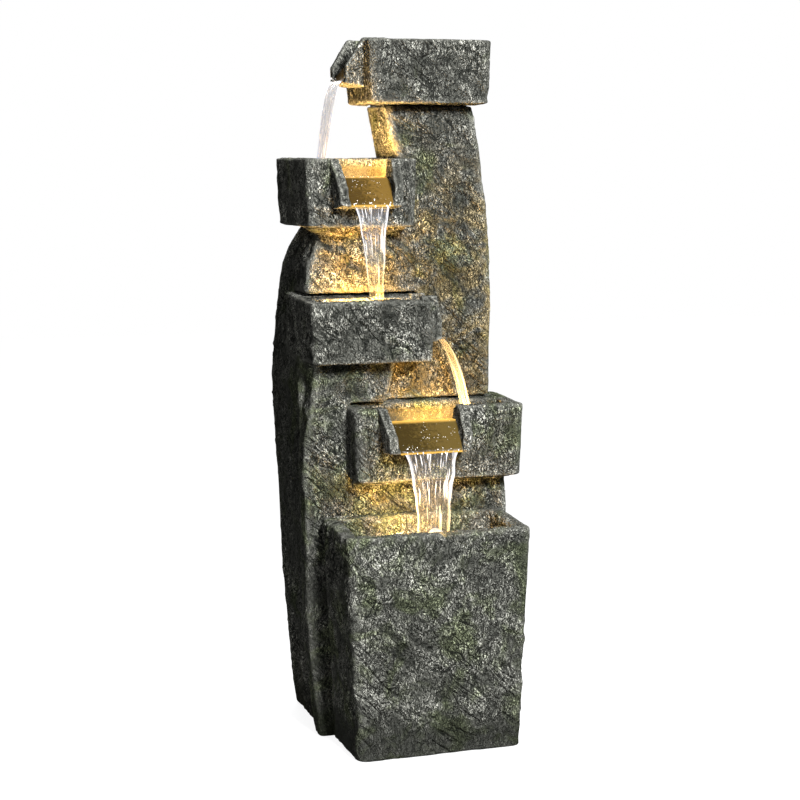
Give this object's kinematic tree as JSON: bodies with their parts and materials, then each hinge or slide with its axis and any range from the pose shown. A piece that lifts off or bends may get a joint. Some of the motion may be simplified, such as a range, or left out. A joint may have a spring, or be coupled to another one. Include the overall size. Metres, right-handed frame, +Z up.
{
  "type": "tiered fountain",
  "caption": "Free-standing cascade fountain in cast stone-look resin: a basin, a leaning column and offset bowls with spill chutes, warm lights and a hidden pump.",
  "frame": {"origin": "on the floor, under the middle of the footprint", "axes": "+X to the right and +Y to the back as seen from the basin's front, +Z up"},
  "size_m": [0.316, 0.316, 1.0045],
  "materials": {
    "cast_stone": "matte",
    "chute_stone": "satin",
    "foam": "matte",
    "steel": "satin",
    "seal_rubber": "matte",
    "door_plastic": "matte",
    "pump_black": "satin",
    "strainer_grey": "satin",
    "dial_grey": "satin",
    "rotor_white": "satin",
    "ceramic": "gloss",
    "riser_pvc": "gloss",
    "elbow_pvc": "satin",
    "fitting_black": "satin",
    "light_black": "satin",
    "light_lens": "gloss",
    "lead_jacket": "satin"
  },
  "bodies": {
    "fountain": {"column": "cast_stone", "back_panel": "cast_stone", "pier": "cast_stone", "basin": "cast_stone", "top_bowl": "cast_stone", "second_bowl": "cast_stone", "third_bowl": "cast_stone", "fourth_bowl": "cast_stone", "top_chute": "chute_stone", "second_chute": "chute_stone", "third_chute": "chute_stone", "fourth_chute": "chute_stone", "top_gasket": "foam", "top_dowels": "steel", "body_bolts": "steel", "body_nuts": "steel", "sealing_washers": "seal_rubber", "pier_bolt": "steel", "foot_pads": "seal_rubber", "cord_grommet": "seal_rubber", "pump_motor": "pump_black", "pump_volute": "pump_black", "pump_strainer": "strainer_grey", "pump_shaft": "ceramic", "pump_bushes": "seal_rubber", "suction_cups": "seal_rubber", "lower_riser": "riser_pvc", "cross_tube": "riser_pvc", "upper_riser": "riser_pvc", "riser_elbows": "elbow_pvc", "riser_grommet": "seal_rubber", "riser_clips": "elbow_pvc", "inlet_fitting": "fitting_black", "inlet_nut": "fitting_black", "second_light": "light_black", "third_light": "light_black", "fourth_light": "light_black", "basin_light": "light_black", "second_lens": "light_lens", "third_lens": "light_lens", "fourth_lens": "light_lens", "basin_lens": "light_lens", "light_leads": "lead_jacket", "lead_seals": "seal_rubber", "lead_block": "strainer_grey", "lead_plugs": "lead_jacket"},
    "rotor": {"pump_rotor": "rotor_white"},
    "dial": {"flow_dial": "dial_grey"},
    "door": {"access_door": "door_plastic", "door_screws": "steel"},
    "plug": {"drain_plug": "seal_rubber"}
  },
  "joints": [
    {"name": "rotor_spin", "type": "hinge", "parent": "fountain", "child": "rotor", "pos_m": [0.06, -0.075, 0.0455], "axis": [1, 0, 0], "continuous": true},
    {"name": "dial_turn", "type": "hinge", "parent": "fountain", "child": "dial", "pos_m": [0.002, -0.075, 0.0455], "axis": [1, 0, 0], "range_deg": [0, 90]},
    {"name": "door_lift_off", "type": "slide", "parent": "fountain", "child": "door", "axis": [0, 1, 0], "range_m": [0, 0.06]},
    {"name": "plug_pull", "type": "slide", "parent": "fountain", "child": "plug", "axis": [1, 0, 0], "range_m": [0, 0.035]}
  ]
}
